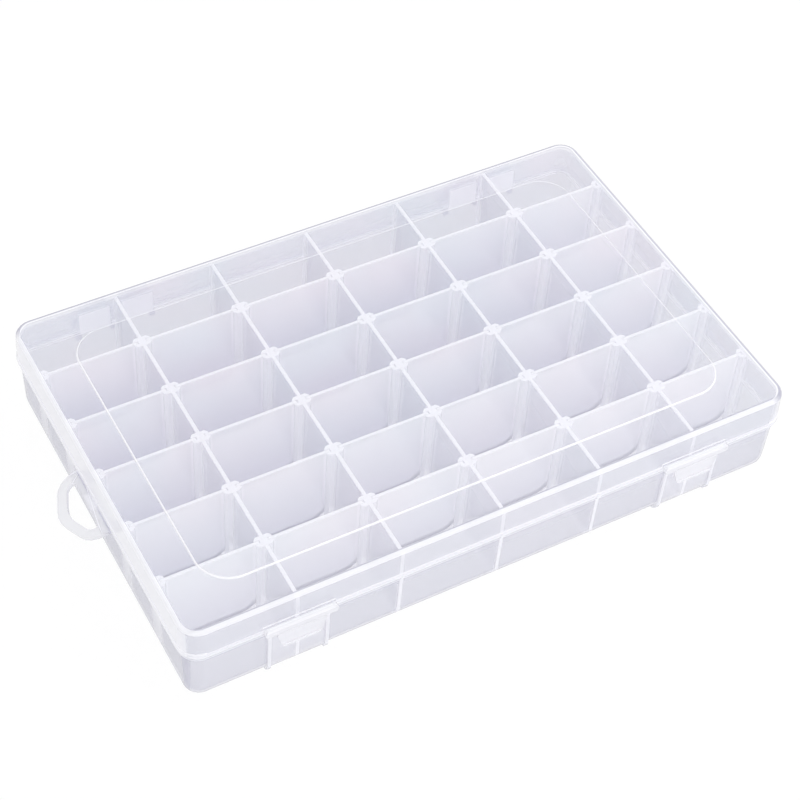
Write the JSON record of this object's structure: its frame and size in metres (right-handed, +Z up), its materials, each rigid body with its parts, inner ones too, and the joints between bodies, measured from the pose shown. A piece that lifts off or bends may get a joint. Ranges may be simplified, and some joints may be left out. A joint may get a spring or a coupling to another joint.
{
  "type": "compartment box with hinged lid",
  "caption": "Clear moulded storage box with removable dividers in slotted posts, a hinged lid, front latches and a hanging loop.",
  "frame": {"origin": "on the plane the box rests on, under the middle of the compartments", "axes": "+X along the long side, away from the hanging loop; +Y towards the hinges; +Z up through the lid"},
  "size_m": [0.2853, 0.1834, 0.0448],
  "materials": {
    "tray_plastic": "clear, slightly milky moulded plastic, softly glossy",
    "lid_plastic": "clear moulded plastic, glossy",
    "divider_plastic": "clear, slightly milky moulded plastic, satin"
  },
  "bodies": {
    "tray": {"tray": "tray_plastic", "hanging_loop": "tray_plastic", "partition_1": "tray_plastic", "partition_2": "tray_plastic", "partition_3": "tray_plastic", "partition_4": "tray_plastic", "partition_5": "tray_plastic"},
    "lid": {"lid": "lid_plastic", "lid_skirt_front": "lid_plastic", "lid_skirt_back": "lid_plastic", "lid_skirt_left": "lid_plastic", "lid_skirt_right": "lid_plastic"},
    "latch_left": {"latch_left": "lid_plastic"},
    "latch_right": {"latch_right": "lid_plastic"},
    "dividers": {"divider_row1_col1": "divider_plastic", "divider_row1_col2": "divider_plastic", "divider_row1_col3": "divider_plastic", "divider_row1_col4": "divider_plastic", "divider_row1_col5": "divider_plastic", "divider_row1_col6": "divider_plastic", "divider_row2_col1": "divider_plastic", "divider_row2_col2": "divider_plastic", "divider_row2_col3": "divider_plastic", "divider_row2_col4": "divider_plastic", "divider_row2_col5": "divider_plastic", "divider_row2_col6": "divider_plastic", "divider_row3_col1": "divider_plastic", "divider_row3_col2": "divider_plastic", "divider_row3_col3": "divider_plastic", "divider_row3_col4": "divider_plastic", "divider_row3_col5": "divider_plastic", "divider_row3_col6": "divider_plastic", "divider_row4_col1": "divider_plastic", "divider_row4_col2": "divider_plastic", "divider_row4_col3": "divider_plastic", "divider_row4_col4": "divider_plastic", "divider_row4_col5": "divider_plastic", "divider_row4_col6": "divider_plastic", "divider_row5_col1": "divider_plastic", "divider_row5_col2": "divider_plastic", "divider_row5_col3": "divider_plastic", "divider_row5_col4": "divider_plastic", "divider_row5_col5": "divider_plastic", "divider_row5_col6": "divider_plastic"}
  },
  "joints": [
    {"name": "lid_hinge", "type": "hinge", "parent": "tray", "child": "lid", "pos_m": [0, 0.09025, 0.03], "axis": [-1, 0, 0], "range_deg": [0, 180]},
    {"name": "latch_left_fold", "type": "hinge", "parent": "lid", "child": "latch_left", "pos_m": [-0.089, -0.08775, 0.033], "axis": [-1, 0, 0], "range_deg": [0, 110]},
    {"name": "latch_right_fold", "type": "hinge", "parent": "lid", "child": "latch_right", "pos_m": [0.089, -0.08775, 0.033], "axis": [-1, 0, 0], "range_deg": [0, 110]},
    {"name": "dividers_lift", "type": "slide", "parent": "tray", "child": "dividers", "axis": [0, 0, 1], "range_m": [0, 0.0003]}
  ]
}
